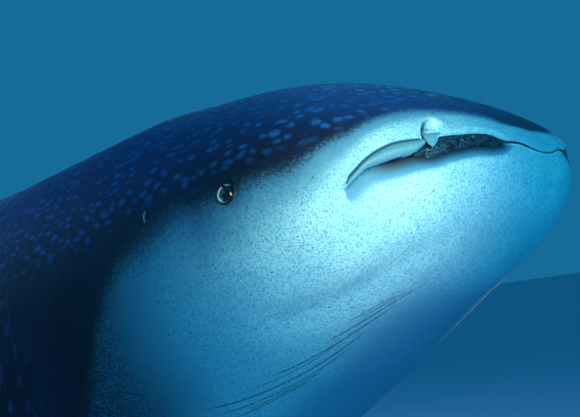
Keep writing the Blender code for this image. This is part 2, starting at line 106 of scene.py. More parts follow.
def section(s):
    close = tailRound(s)
    return (widthAt(s) * noseRound(s, body["noseWidth"]) * close,
            upperAt(s) * noseRound(s, body["noseUpper"]) * close,
            lowerAt(s) * noseRound(s, body["noseLower"]) * close)


# a point of the plain flank: station, height angle above the widest line, side +1 left or -1 right
def flank(s, el, side):
    a = np.radians(el)
    c, n = np.clip(np.cos(a), 0, 1), np.sin(a)
    w, hu, hl = section(s)
    e = np.where(n >= 0, 2 / body["roundUpper"], 2 / body["roundLower"])
    y = side * w * c ** e
    z = axisAt(s) + np.where(n >= 0, hu, hl) * np.sign(n) * np.abs(n) ** e
    return np.stack([-s + 0 * y, y, z], -1) * size


# the way back: station and height angle of any point near the body, and how far out it lies
def flankOf(p):
    s = np.clip(-p[:, 0] / size, 1e-5, body["tailEnd"] - .0005)
    w, hu, hl = section(s)
    w, hu, hl = np.maximum(w, 1e-4), np.maximum(hu, 1e-4), np.maximum(hl, 1e-4)
    dz = p[:, 2] / size - axisAt(s)
    up = dz >= 0
    n = np.where(up, body["roundUpper"], body["roundLower"])
    q = np.abs(p[:, 1]) / size / w
    r = np.abs(dz) / np.where(up, hu, hl)
    out = (q ** n + r ** n) ** (1 / n)
    el = np.degrees(np.arctan2(r ** (n / 2), q ** (n / 2))) * np.where(up, 1, -1)
    return s, el, out


# swimming bend, nose up, and the place the solids hold
heading = {"steps": np.linspace(.20, 1.05, 341)}
turnAt = lambda s: (math.radians(body["trunkSweep"]) * ramp(s, .24, .66)
                    - math.radians(body["tailCounter"]) * ramp(s, .58, .98))
steps = heading["steps"]
mid = turnAt((steps[1:] + steps[:-1]) / 2)
gap = np.diff(steps) * size
pathX = np.concatenate([[0], np.cumsum(-gap * np.cos(mid))]) - steps[0] * size
pathY = np.concatenate([[0], np.cumsum(gap * np.sin(mid))])


def posed(p):
    x, y, z = p[..., 0], p[..., 1], p[..., 2]
    s = -x / size
    turn = turnAt(s)
    bent = s > steps[0]
    bx = np.interp(s, steps, pathX) + y * np.sin(turn)
    by = np.interp(s, steps, pathY) + y * np.cos(turn)
    x, y = np.where(bent, bx, x), np.where(bent, by, y)
    up = math.radians(body["noseUp"])
    x, z = x * math.cos(up) - z * math.sin(up), x * math.sin(up) + z * math.cos(up)
    return np.stack([y, -x, z], -1)


# ---- features of the head
mouth = {"y": [0, .050, .110, .160, .235, .300, .350, .413, .4385],
         "z": [-.0070, -.0030, .0080, .0088, .0142, .0128, .0045, -.0010, -.0226],
         "openFront": .0175, "openSide": .0240, "line": .0015, "lipRound": .006, "lipSwell": .0030,
         "recess": .0030, "foldStart": .337, "foldRaise": .0060,
         "foldAt": [0, .13, .27, .43, .60, .75, .90, 1],
         "foldHalf": [.0098, .0128, .0138, .0118, .0084, .0080, .0074, .0045]}
eye = {"at": .0453, "angle": 8.0, "radius": .0170, "sunk": .0095, "lidRadius": .0150}
spiracle = {"at": .0704, "angle": 15.0}
nostril = {"at": .0077, "angle": 16.0}
gills = {"slits": [.158, .1745, .191, .2075, .224], "raise": .0020, "cut": .0032}
ridges = [(62.0, .145, .0026), (38.0, .165, .0028), (10.0, .195, .0030)]
cornerY = mouth["y"][-1]
mouthHeight = profile([-mouth["y"][1]] + mouth["y"], [mouth["z"][1]] + mouth["z"])
foldHalfOf = profile(mouth["foldAt"], mouth["foldHalf"])


# station and angle of the plain flank at a given width and height
def whereOn(y, z):
    y, z = np.broadcast_arrays(np.abs(np.asarray(y, float)), np.asarray(z, float))
    low, high = np.zeros(y.shape), np.full(y.shape, .10)
    for _ in range(40):
        s = (low + high) / 2
        w, hu, hl = section(s)
        dz = z / size - axisAt(s)
        n = np.where(dz >= 0, body["roundUpper"], body["roundLower"])
        above = np.abs(dz) / np.where(dz >= 0, hu, hl)
        far = (y / size / w) ** n + above ** n > 1
        low, high = np.where(far, s, low), np.where(far, high, s)
    return high, np.degrees(np.arcsin(np.clip(above ** (n / 2), 0, 1))) * np.where(dz >= 0, 1, -1)


lipY = cornerY * np.sin(math.pi / 2 * np.linspace(-1, 1, 301))
lipZ = mouthHeight(np.abs(lipY))
lipLine = np.stack([-whereOn(lipY, lipZ)[0] * size, lipY, lipZ], -1)


def openingAt(y):
    r = np.abs(y) / cornerY
    tall = mouth["openFront"] + (mouth["openSide"] - mouth["openFront"]) * ramp(r, .55, .72)
    return (tall * ramp(r, .34, .47) * (1 - ramp(r, .745, .83)) + mouth["line"]) * (r < 1)


# half height of the labial fold at a width
def foldHalfAt(y):
    u = np.arcsin(np.clip((y - mouth["foldStart"]) / (cornerY - mouth["foldStart"]), 0, 1)) * 2 / math.pi
    return foldHalfOf(u), u


def nearest(points, line):
    tree = KDTree(len(line))
    for i, q in enumerate(line):
        tree.insert(q, i)
    tree.balance()
    found = [tree.find(q) for q in points]
    return np.array([f[1] for f in found]), np.array([f[2] for f in found])


def curve(ats, angles, count=60):
    t = np.linspace(0, 1, len(ats))
    u = np.linspace(0, 1, count)
    return profile(t, ats)(u), profile(t, angles)(u)


# creases of the throat: first station and angle, last station and angle, bow, half width in degrees
creases = [(.0300, -59.8, .0421, -53.2, -.25, .34), (.0255, -64.0, .0493, -52.5, -1.1, .46),
           (.0330, -63.4, .0636, -46.0, -1.8, .48), (.0400, -63.6, .0809, -37.5, -3.7, .52),
           (.0450, -63.8, .0800, -42.5, -2.8, .42), (.0540, -61.8, .0740, -50.0, -.6, .42),
           (.0580, -60.9, .0780, -48.5, -.6, .42), (.0280, -61.8, .0400, -56.0, -.2, .34),
           (.0440, -58.6, .0690, -44.5, -1.6, .34)]
jawCrease = curve([.0560, .0469, .0398, .0326, .0225, .0150], [-30.5, -38.5, -44, -47.5, -49, -53.5])
slitLine = curve([.0086, .0087, .0089], [20, 11, 1.5])


def localFrame(at, angle, side):
    one = lambda s, el: flank(np.array([s]), np.array([el]), np.array([side]))[0]
    p = one(at, angle)
    aft = one(at + .0006, angle) - one(at - .0006, angle)
    aft /= np.linalg.norm(aft)
    up = one(at, angle + .6) - one(at, angle - .6)
    up -= aft * up.dot(aft)
    up /= np.linalg.norm(up)
    out = np.cross(up, aft)
    out *= np.sign(out[1] * side)
    return p, aft, up, out


# ---- the skin: a grid in station and angle, refined where the head needs it, then rolled round the body
grid = {"tipStep": .012, "headStep": .017, "gillStep": .028, "trunkStep": .056, "tailStep": .032}


def stationList():
    fine = np.concatenate([np.linspace(0, 1, 4000) ** 3 * .03, np.linspace(.0301, body["tailEnd"], 6000)])
    line = flank(fine, 0 * fine, 1 + 0 * fine)
    arc = np.concatenate([[0], np.cumsum(np.linalg.norm(np.diff(line, axis=0), axis=1))])
    out, here = [0.0], 0.0
    while here < arc[-1]:
        s = float(np.interp(here, arc, fine))
        step = (grid["tipStep"] if s < .026 else grid["headStep"] if s < .085 else
                grid["gillStep"] if s < .24 else grid["trunkStep"] if s < .74 else grid["tailStep"])
        if s > .826:
            step = .010
        here += step
        out.append(float(np.interp(min(here, arc[-1]), arc, fine)))
    out = np.array(out)
    for slit in gills["slits"]:
        out = out[(out < slit - .0135) | (out > slit + .0050)]
        out = np.concatenate([out, slit + np.array([-.0125, -.0095, -.0065, -.0038, -.0018, -.0006, 0,
                                                    .00025, .0006, .0012, .0024, .0044])])
    return np.unique(np.round(out, 6))


def columnList():
    half = np.concatenate([np.linspace(-90, -30, 19)[:-1], np.linspace(-30, 30, 29)[:-1],
                           np.linspace(30, 90, 21)])
    return np.concatenate([half, 180 - half[::-1][1:]])


stations, columns = stationList(), columnList()
print("grid of skin:", len(stations), "stations,", len(columns), "columns")


def gridToFlank(u, v):
    s = np.interp(u, np.linspace(0, 1, len(stations)), stations)
    angle = np.interp(v, np.linspace(0, 1, len(columns)), columns)
    side = np.where(angle <= 90, 1.0, -1.0)
    return s, np.where(angle <= 90, angle, 180 - angle), side


# splits the faces near a line until their edges are as short as wanted
def refine(piece, targets):
    mesh = piece.data
    for _ in range(4):
        co = np.empty(len(mesh.vertices) * 3)
        mesh.vertices.foreach_get("co", co)
        here = flank(*gridToFlank(co[0::3] + .5, co[1::3] + .5))
        ends = np.empty(len(mesh.edges) * 2, np.int32)
        mesh.edges.foreach_get("vertices", ends)
        length = np.linalg.norm(here[ends[0::2]] - here[ends[1::2]], axis=1)
        edgeOf, start = np.empty(len(mesh.loops), np.int32), np.empty(len(mesh.polygons), np.int32)
        mesh.loops.foreach_get("edge_index", edgeOf)
        mesh.polygons.foreach_get("loop_start", start)
        longest = np.maximum.reduceat(length[edgeOf], start)
        centres = np.empty(len(mesh.polygons) * 3)
        mesh.polygons.foreach_get("center", centres)
        at = flank(*gridToFlank(centres[0::3] + .5, centres[1::3] + .5))
        pick = np.zeros(len(at), bool)
        for line, reach, want in targets:
            close = np.flatnonzero((longest > want) & np.all((at > line.min(0) - reach)
                                                             & (at < line.max(0) + reach), axis=1))
            if len(close):
                pick[close[nearest(at[close], line)[1] < reach]] = True
        if not pick.any():
            return
        bpy.ops.object.mode_set(mode="EDIT")
        bpy.ops.mesh.select_mode(type="FACE")
        bpy.ops.mesh.select_all(action="DESELECT")
        bpy.ops.object.mode_set(mode="OBJECT")
        mesh.polygons.foreach_set("select", pick)
        bpy.ops.object.mode_set(mode="EDIT")
        bpy.ops.mesh.subdivide(number_cuts=1, ngon=False)
        bpy.ops.object.mode_set(mode="OBJECT")


def spot(at, angle):
    return [flank(np.array([at]), np.array([float(angle)]), np.array([side])) for side in (1.0, -1.0)]


bpy.ops.object.select_all(action="DESELECT")
bpy.ops.mesh.primitive_grid_add(x_subdivisions=len(stations) - 1, y_subdivisions=len(columns) - 1, size=1)
skin = bpy.context.active_object
skin.name = "skin"
eyeSpots, spiracleSpots, nostrilSpots = (spot(f["at"], f["angle"]) for f in (eye, spiracle, nostril))
foldY = np.linspace(mouth["foldStart"], cornerY - .001, 40)
foldZ = mouthHeight(foldY) + .020
foldLine = np.stack([-whereOn(foldY, foldZ)[0] * size, foldY, foldZ], -1)
bothSides = lambda line: [line, line * (1, -1, 1)]
foldTopZ = mouthHeight(foldY) + 1.98 * foldHalfAt(foldY)[0]
foldTop = np.stack([-whereOn(foldY, foldTopZ)[0] * size, foldY, foldTopZ], -1)
refine(skin, [(lipLine, .026, .0066), (lipLine, .009, .0033)]
       + [(p, .007, .0026) for p in bothSides(foldTop)]
       + [t for p in bothSides(foldLine) for t in ((p, .024, .0064), (p, .014, .0033))]
       + [t for p in nostrilSpots for t in ((p, .045, .0060), (p, .026, .0030))]
       + [t for p in eyeSpots for t in ((p, .055, .0075), (p, .034, .0040), (p, .0195, .0011))]
       + [t for p in spiracleSpots for t in ((p, .030, .0040), (p, .018, .0022))])
print("refined skin faces:", len(skin.data.polygons))

co = np.empty(len(skin.data.vertices) * 3)
skin.data.vertices.foreach_get("co", co)
co = co.reshape(-1, 3)
s, el, side = gridToFlank(co[:, 0] + .5, co[:, 1] + .5)
plain = flank(s, el, side)
skin.data.vertices.foreach_set("co", plain.ravel())
bpy.ops.object.mode_set(mode="EDIT")
bpy.ops.mesh.select_all(action="SELECT")
bpy.ops.mesh.remove_doubles(threshold=.00002)
bpy.ops.mesh.normals_make_consistent(inside=False)
bpy.ops.object.mode_set(mode="OBJECT")
skin.data.update()


def verticesOf(piece, what="co"):
    out = np.empty(len(piece.data.vertices) * 3, np.float32)
    if what == "co":
        piece.data.vertices.foreach_get("co", out)
    else:
        piece.data.vertex_normals.foreach_get("vector", out)
    return out.reshape(-1, 3).astype(float)


def setVertices(piece, points):
    piece.data.vertices.foreach_set("co", np.ascontiguousarray(points, np.float32).ravel())
    piece.data.update()


# heights of every form above the plain flank, in metres
def trunkRelief(s, el):
    out = np.zeros(len(s))
    for level, start, height in ridges:
        rise = ramp(s, start, start + .07) * (1 - .9 * ramp(s, .80, .84))
        if level < 20:
            level = level * (1 - ramp(s, .50, .72))
            height = height * (1 + 1.9 * ramp(s, .60, .74))
        else:
            rise = rise * (1 - .75 * ramp(s, .50, .78))
        out += height * rise * bumpOf(el - level, 4.6)
    out += .0018 * ramp(s, .12, .20) * (1 - ramp(s, .78, .83)) * bumpOf(el - 90, 6.0)
    for k, slit in enumerate(gills["slits"]):
        # each slit leans and bows a little
        here = s + .0012 * np.sin(np.radians(el * 2 + 30 * k))
        tall = ramp(el, -50, -38) * (1 - ramp(el, 22 - 2 * k, 32 - 2 * k))
        flap = (here > slit - .013) & (here <= slit)
        cut = (here > slit) & (here < slit + .006)
        out += np.where(flap, gills["raise"] * tall * ramp(here, slit - .013, slit), 0)
        out -= np.where(cut, gills["cut"] * tall * (1 - ramp(here, slit + .0009, slit + .006)), 0)
    return out * size


# lips: the upper one rolls over its edge, the lower one lies a little deeper; their marks are painted shade and a
# painted highlight
def lipRelief(p, s, marks):
    out = np.zeros(len(p))
    near = np.flatnonzero(s < .03)
    i, d = nearest(p[near], lipLine)
    y = np.abs(lipLine[i, 1])
    past = lipLine[-1, 0] - p[near, 0] > .004
    edge = np.maximum(d - openingAt(lipLine[i, 1]) / 2, 0)
    above = p[near, 2] > lipLine[i, 2]
    fade = (1 - .45 * ramp(y / cornerY, .88, 1.0)) * np.where(past, np.exp(-(d / .006) ** 2), 1)
    band = ramp(y, .12, .17)
    r = mouth["lipRound"] * (.4 + .6 * band)
    roll = np.where(edge < r, r - np.sqrt(np.clip(r * r - (r - edge) ** 2, 0, None)), 0)
    lower = mouth["recess"] * np.exp(-edge / .020) * ramp(y, .02, .12)
    swell = mouth["lipSwell"] * np.exp(-((edge - .011) / .008) ** 2) * (.3 + .7 * band)
    out[near] = fade * np.where(above, swell - roll, -roll * .5 - lower)
    # painted shade: the closed line is painted dark, and a gradient of painted shade falls below it from the
    # overhanging upper lip
    wide = .008 + .016 * band + .010 * ramp(y, .33, .37)
    marks["dark"][near] = fade * np.where(above, .90 * (edge < .0016),
                                          (.40 + .57 * band) * (1 - np.clip(edge / wide, 0, 1) ** 2.0))
    # painted highlight: a thin lit edge along the lower lip in front
    rimHighlight = np.exp(-((edge - .0034) / .0018) ** 2) * (1 - band)
    marks["pale"][near] = fade * np.where(above, 0, .55 * rimHighlight)
    return out


def foldRelief(p, s, marks):
    y = np.abs(p[:, 1])
    half, u = foldHalfAt(y)
    up = p[:, 2] - mouthHeight(y)
    x = (up - half * .95) / half
    on = ((s < .026) & (y > mouth["foldStart"] - .004) & (up > -.004) & (up < .06)) * ramp(y, .333, .347)
    on = on * (1 - ramp(y, cornerY - .003, cornerY + .006))
    # painted shade: a dark line along the crease at the top of the fold
    crease = np.exp(-((up - half * 1.98) / .0024) ** 2) * ramp(u, .0, .05)
    marks["dark"] = np.maximum(marks["dark"], .95 * on * crease)
    marks["grey"] = np.maximum(marks["grey"], on * ramp(1 - np.abs(x), -.02, .18))
    return on * (mouth["foldRaise"] * bumpOf(x, 1.08) - .0036 * crease)


def nostrilRelief(p, hand, marks):
    c, aft, up, face = localFrame(nostril["at"], nostril["angle"], hand)
    a, b = (p - c) @ aft, (p - c) @ up
    here = (np.abs((p - c) @ face) < .08) & (np.abs(b) < .08) & (np.abs(a) < .08)
    # its swelling ends sharply behind and fades out in front and above
    ahead, over = -.005 - a, b - .001
    swell = bumpOf(np.hypot(ahead / np.where(ahead > 0, .034, .0180), over / np.where(over > 0, .026, .0175)), 1.0)
    line = flank(slitLine[0], slitLine[1], hand + 0 * slitLine[0])
    slit, near = np.zeros(len(p)), np.flatnonzero(here)
    i, d = nearest(p[near], line)
    slit[near] = np.exp(-(d / .0022) ** 2) * np.sin(math.pi * np.clip(.04 + .92 * i / len(line), 0, 1)) ** .4
    # painted shade in the nostril slit, and a painted highlight on the swelling, brightest at its back edge and
    # fading forward
    marks["dark"] = np.maximum(marks["dark"], here * .95 * slit)
    marks["pale"] = np.maximum(marks["pale"], here * .66 * swell * (1 - slit) * (1 - ramp(ahead, -.004, .022)))
    return here * (.0070 * swell - .0085 * slit)


def eyeRelief(p, hand, marks):
    c, aft, up, face = localFrame(eye["at"], eye["angle"], hand)
    a, b = (p - c) @ aft, (p - c) @ up
    r, turn = np.hypot(a / 1.05, b / .94), np.arctan2(b, -a)
    here = (np.abs((p - c) @ face) < .12) & (r < .15)
    lid = eye["lidRadius"]
    # painted shade: the socket round the eyeball is painted dark
    marks["dark"] = np.maximum(marks["dark"], here * (1 - ramp(r, lid + .0030, lid + .0062)))
    # painted highlights: thin lit arcs on the lid's rim over the top and at the back, a bar of reflection below
    # and a white glint at the back
    litArcs = np.where(turn > 0, ramp(np.abs(turn - 1.62), .16, .30) * ramp(turn, .35, .60), .06)
    litArcs = np.maximum(litArcs, turn < -2.9)
    thin = np.exp(-((r - lid - .0002) / .0007) ** 2)
    bar = ((turn > -2.45) & (turn < -1.25)) * np.maximum(thin, np.exp(-((r - lid + .0036) / .0008) ** 2))
    glintPatch = np.exp(-((turn + 2.78) / .24) ** 2) * np.exp(-((r - lid + .0014) / .0024) ** 4)
    marks["pale"] = np.maximum(marks["pale"], here * np.maximum(litArcs * thin * .75, np.maximum(bar * .6, glintPatch)))
    return here * (.005 * np.exp(-((r - .046) / .030) ** 2) + .0034 * np.exp(-((r - lid - .0014) / .0024) ** 2)
                   - .0022 * np.exp(-((r - lid - .0062) / .0026) ** 2) - .016 * (1 - ramp(r, lid - .0042, lid)))


def spiracleRelief(p, hand, marks):
    c, aft, up, face = localFrame(spiracle["at"], spiracle["angle"], hand)
    a, b = (p - c) @ aft, (p - c) @ up
    r = np.hypot(a / .45, b)
    here = (np.abs((p - c) @ face) < .10) & (r < .12)
    # painted shade in the spiracle's hole and a thin painted highlight on the rim behind it
    marks["dark"] = np.maximum(marks["dark"], here * (1 - ramp(r, .0050, .0085)))
    marks["pale"] = np.maximum(marks["pale"], here * (a > 0) * .30 * np.exp(-((r - .0100) / .0022) ** 2))
    return here * (.0022 * np.exp(-((r - .0115) / .0036) ** 2) - .010 * (1 - ramp(r, .0040, .0090)))


def headRelief(p, s, el):
    marks = {key: np.zeros(len(p)) for key in ("dark", "pale", "grey")}
    out = lipRelief(p, s, marks) + foldRelief(p, s, marks)
    mirrored = p * (1, 0, 1) - np.abs(p) * (0, 1, 0)
    line = flank(jawCrease[0], jawCrease[1], -1 + 0 * jawCrease[0])
    low = np.flatnonzero((s < .12) & (el < 0))
    i, d = nearest(mirrored[low], line)
    out[low] -= .0100 * np.exp(-(d / .030) ** 2) * np.sin(math.pi * np.clip(i / len(line), 0, 1)) ** .6
    for hand in (1.0, -1.0):
        for form in (nostrilRelief, eyeRelief, spiracleRelief):
            out += form(p, hand, marks)
    return out, marks


plain = verticesOf(skin)
normals = verticesOf(skin, "normal")
s, el, outness = flankOf(plain)
lift = trunkRelief(s, el)
extra, marksOf = headRelief(plain, s, el)
setVertices(skin, plain + normals * (lift + extra)[:, None])
markTree = KDTree(len(plain))
shaped = verticesOf(skin)
for i, q in enumerate(shaped):
    markTree.insert(q, i)
markTree.balance()
print("relief done")


# ---- fins, each a grid rolled into a foil and closed
def rolled(name, rings):
    count, around = len(rings), len(rings[0])
    bpy.ops.object.select_all(action="DESELECT")
    bpy.ops.mesh.primitive_grid_add(x_subdivisions=count - 1, y_subdivisions=around, size=1)
    piece = bpy.context.active_object
    piece.name = name
    at = verticesOf(piece)
    i = np.rint((at[:, 0] + .5) * (count - 1)).astype(int)
    j = np.rint((at[:, 1] + .5) * around).astype(int) % around
    setVertices(piece, np.array(rings)[i, j])
    bpy.ops.object.mode_set(mode="EDIT")
    bpy.ops.mesh.select_all(action="SELECT")
    bpy.ops.mesh.remove_doubles(threshold=.00001)
    bpy.ops.mesh.select_all(action="SELECT")
    bpy.ops.mesh.fill_holes(sides=0)
    bpy.ops.mesh.select_all(action="SELECT")
    bpy.ops.mesh.normals_make_consistent(inside=False)
    bpy.ops.object.mode_set(mode="OBJECT")
    return piece


foilShape = profile([0, .03, .12, .30, .55, .80, 1.0], [0, .46, .80, 1.0, .84, .46, 0])


def foil(lead, chord, half, spanDir, chordDir, thickDir, count=22):
    marksAlong = (1 - np.cos(np.linspace(0, math.pi, count))) / 2
    edge = max(.0016, .10 * half)
    thick = half * foilShape(marksAlong) + edge * np.minimum(1, marksAlong * 6)
    top = lead + chordDir * chord * marksAlong[:, None] + thickDir * thick[:, None]
    low = lead + chordDir * chord * marksAlong[:, None] - thickDir * thick[:, None]
    return np.concatenate([top, low[:0:-1]])


def fin(name, root, spanDir, settings):
    chordDir = np.array([-1.0, 0, 0])
    spanDir = spanDir / np.linalg.norm(spanDir)
    thickDir = np.cross(spanDir, chordDir)
    thickDir /= np.linalg.norm(thickDir)
    rings, rows, chord, tip = [], settings["rows"], settings["chord"], settings["tip"]
    for k in range(-1, rows + 1):
        t = 0 if k < 0 else (k / rows) ** 1.15
        flare = math.exp(-t / .05)
        lead = (root + spanDir * (settings["span"] * t - (settings["depth"] if k < 0 else 0))
                + chordDir * settings["sweep"] * t ** settings["bend"])
        wide = (chord * (1 - t) ** settings["taper"]
                * (1 - settings["curve"] * math.sin(math.pi * min(1, t * 1.15) ** .62)))
        wide = max(wide, chord * tip * (1 - .62 * max(0, t - .9) / .1))
        half = settings["thick"] * chord * (1 - .80 * t ** .8) / 2 * (1 + .45 * flare)
        if t > .93:
            lead = lead + chordDir * chord * tip * .30 * (t - .93) / .07
        rings.append(foil(lead - chordDir * .05 * chord * flare, wide * (1 + .07 * flare), half,
                          spanDir, chordDir, thickDir))
    return rolled(name, rings)


finSettings = {
    "first_dorsal": {"at": .452, "span": .690, "chord": .80, "sweep": .60, "thick": .115, "curve": .30,
                     "depth": .16, "rows": 34, "tip": .13, "taper": .80, "bend": 1.22},
    "second_dorsal": {"at": .660, "span": .270, "chord": .30, "sweep": .24, "thick": .13, "curve": .30,
                      "depth": .10, "rows": 20, "tip": .13, "taper": .80, "bend": 1.22},
    "anal": {"at": .674, "span": .280, "chord": .27, "sweep": .25, "thick": .13, "curve": .30,
             "depth": .08, "rows": 20, "tip": .13, "taper": .80, "bend": 1.22},
    "pectoral": {"at": .200, "angle": -30, "down": 27, "span": 1.22, "chord": .60, "sweep": .82,
                 "thick": .13, "curve": .04, "depth": .16, "rows": 40, "tip": .10, "taper": .62, "bend": 1.35},
    "pelvic": {"at": .520, "angle": -50, "down": 40, "span": .36, "chord": .33, "sweep": .28,
               "thick": .12, "curve": .22, "depth": .10, "rows": 18, "tip": .13, "taper": .80, "bend": 1.22},
    "caudal": {"lead": ([-.115, -.09, -.06, -.03, -.012, .014, .05, .10, .15, .19],
                        [.882, .863, .841, .819, .806, .804, .838, .886, .933, .974]),
               "trail": ([-.115, -.09, -.06, -.03, 0, .05, .10, .15, .19],
                         [.897, .890, .882, .877, .884, .908, .944, .975, .988])},
}


def flankAt(s, el, side):
    lift = trunkRelief(np.array([s]), np.array([float(el)]))[0]
    a = math.radians(el)
    p = flank(np.array([s]), np.array([float(el)]), np.array([side]))[0]
    return p + lift * np.array([0, side * math.cos(a), math.sin(a)])


def pairedFin(key, side):
    f = finSettings[key]
    root = flankAt(f["at"] + .012, f["angle"], side)
    root[0] = -f["at"] * size
    down = math.radians(f["down"])
    spanDir = np.array([0, side * math.cos(down), -math.sin(down)])
    return fin(key, root - spanDir * .02, spanDir, f)


def caudalFin():
    f = finSettings["caudal"]
    leadAt, trailAt = profile(*f["lead"]), profile(*f["trail"])
    rings = []
    low, high = f["lead"][0][0], f["lead"][0][-1]
    levels = np.concatenate([np.linspace(low, -.03, 20)[:-1], np.linspace(-.03, .03, 18)[:-1],
                             np.linspace(.03, high, 34)])
    for z in levels:
        far = z / high if z > 0 else z / low
        half = .0074 * math.exp(-abs(z) / .024) + .0034 * (1 - far) + .0009
        lead, trail = float(leadAt(z)), float(trailAt(z))
        if far > .95:
            k = (far - .95) / .05
            half, trail = half * (1 - .3 * k), trail - .25 * k * (trail - lead)
        rings.append(foil(np.array([-lead, 0, z]) * size, (trail - lead) * size, half * size,
                          np.array([0, 0, 1.0]), np.array([-1.0, 0, 0]), np.array([0, 1.0, 0])))
    return rolled("caudal", rings)


up = np.array([0, 0, 1.0])
finPieces = [caudalFin()]
for key, high, rootAt, spanDir in (("first_dorsal", 90, .545, up), ("second_dorsal", 90, .69, up),
                                   ("anal", -90, .70, -up)):
    root = np.array([-finSettings[key]["at"] * size, 0, flankAt(rootAt, high, 1)[2] - .01 * spanDir[2]])
    finPieces.append(fin(key, root, spanDir, finSettings[key]))
for side in (1, -1):
    finPieces += [pairedFin("pectoral", side), pairedFin("pelvic", side)]


def joined(pieces, name):
    bpy.ops.object.select_all(action="DESELECT")
    for piece in pieces:
        piece.select_set(True)
    bpy.context.view_layer.objects.active = pieces[0]
    bpy.ops.object.join()
    pieces[0].name = name
    return pieces[0]


def combined(piece, other, operation):
    bpy.ops.object.select_all(action="DESELECT")
    bpy.context.view_layer.objects.active = piece
    piece.select_set(True)
    mod = piece.modifiers.new("combine", "BOOLEAN")
    mod.operation, mod.solver, mod.object = operation, "EXACT", other
    bpy.ops.object.modifier_apply(modifier=mod.name)
    bpy.data.objects.remove(other, do_unlink=True)
    return piece


finAll = joined(finPieces, "fins")
known = KDTree(len(shaped) + len(finAll.data.vertices))
for i, q in enumerate(np.concatenate([shaped, verticesOf(finAll)])):
    known.insert(q, i)
known.balance()
combined(skin, finAll, "UNION")
after = verticesOf(skin)
fresh = np.array([known.find(q)[2] > 1e-5 for q in after])
print("fins fused,", int(fresh.sum()), "points at their roots")

# soften the roots
rootTree = KDTree(int(fresh.sum()))
for i, q in enumerate(after[fresh]):
    rootTree.insert(q, i)
rootTree.balance()
reach = np.array([rootTree.find(q)[2] for q in after])
for radius, repeat in ((.055, 6), (.030, 10)):
    bpy.ops.object.mode_set(mode="EDIT")
    bpy.ops.mesh.select_mode(type="VERT")
    bpy.ops.mesh.select_all(action="DESELECT")
    bpy.ops.object.mode_set(mode="OBJECT")
    skin.data.vertices.foreach_set("select", reach < radius)
    bpy.ops.object.mode_set(mode="EDIT")
    bpy.ops.mesh.vertices_smooth(factor=.5, repeat=repeat)
    bpy.ops.object.mode_set(mode="OBJECT")

# ---- the mouth: a thin curved wedge cut out between the lips
rings = []
for y in cornerY * .998 * np.sin(math.pi / 2 * np.linspace(-1, 1, 141)):
    z, half = float(mouthHeight(abs(y))), float(openingAt(y)) / 2
    front, back = .25, lipLine[-1, 0] - .002
    rings.append([np.array(q) for q in ((front, y, z + half), (back, y, z + half * .6), (back, y, z - half * .6),
                                        (front, y, z - half))])
wedge = rolled("wedge", rings)
mouthSlot = bpy.data.materials.new("mouthLining")
skinSlot = bpy.data.materials.new("hide")
skin.data.materials.append(skinSlot)
skin.data.materials.append(mouthSlot)
wedge.data.materials.append(skinSlot)
wedge.data.materials.append(mouthSlot)
wedge.data.polygons.foreach_set("material_index", np.ones(len(wedge.data.polygons), np.int32))
combined(skin, wedge, "DIFFERENCE")


# a soft tongue that hangs from the nostril over the end of the opening
def nostrilFlap(hand):
    f = flapShape
    rings, edges = [], []
    for t in np.linspace(0, 1, f["rows"]):
        p, aft, up, face = localFrame(f["from"][0] + (f["to"][0] - f["from"][0]) * t,
                                      f["from"][1] + (f["to"][1] - f["from"][1]) * t, hand)
        wide = f["wide"] * (1 - t ** 2.2) ** .75 + .0012
        thick = f["thick"] * (1 - .6 * t)
        mid = p + face * (f["sink"] + (f["lift"] - f["sink"]) * math.sin(math.pi * min(1, t * 1.25) * .5))
        ring = []
        for turn in np.linspace(0, 2 * math.pi, 20, endpoint=False):
            x, z = math.cos(turn), math.sin(turn)
            curl = f["curl"] * x * x * t
            ring.append(mid + aft * wide * x + face * (thick * z - curl * np.sign(z) * 0 + curl))
        rings.append(ring)
    return rolled("flap", rings)


flapShape = {"rows": 16, "from": (.0076, 9.0), "to": (.0083, -3.4), "wide": .0175, "thick": .0026,
             "sink": -.0040, "lift": .0050, "curl": .0022}
flaps = joined([nostrilFlap(1.0), nostrilFlap(-1.0)], "flaps")
flapPoints = verticesOf(flaps)
flaps.data.materials.append(skinSlot)
combined(skin, flaps, "UNION")
skin.data.calc_loop_triangles()
print("mouth cut, skin triangles:", len(skin.data.loop_triangles))

straight = verticesOf(skin)
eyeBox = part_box("eye_left")
eyeMid = (np.array(eyeBox[0]) + np.array(eyeBox[1])) / 2
c, aft, upDir, face = localFrame(eye["at"], eye["angle"], 1.0)
offset = eyeMid - posed((c - face * eye["sunk"])[None])[0]
print("offset", offset)
setVertices(skin, posed(straight) + offset)

# ---- paint: tone = how dark the back is, spots, painted shade, painted highlights
s, el, outness = flankOf(straight)
normals = verticesOf(skin, "normal")
onFin = ramp(outness, 1.06, 1.16) * (s > .12)
edgeAt = profile([0, .0011, .0020, .0055, .0107, .0153, .0192, .0245, .0280, .0322, .0420, .0530, .0624, .0791,
                  .0880, .0960, .107, .125, .16, .20, .25, .5, .8, 1.0],
                 [100, 100, 52, 38, 30, 21, 13, 7.5, 4.5, 3.5, 4, 5.5, 9.5, 9, 3, -9, -22, -32, -37, -37, -31,
                  -24, -20, -20])
soft = 16 + 10 * (1 - ramp(s, .004, .014))
back = ramp((el - edgeAt(s)) / soft, -1, 1)
finBack = np.where(normals[:, 2] > -.15, 1, 0) * 1.0
back = back * (1 - onFin) + finBack * onFin
found = [markTree.find(q) for q in straight]
index = np.array([f[1] for f in found])
onHead = np.array([f[2] for f in found]) < .012
dark, pale, grey = (np.where(onHead, marksOf[k][index], 0) for k in ("dark", "pale", "grey"))
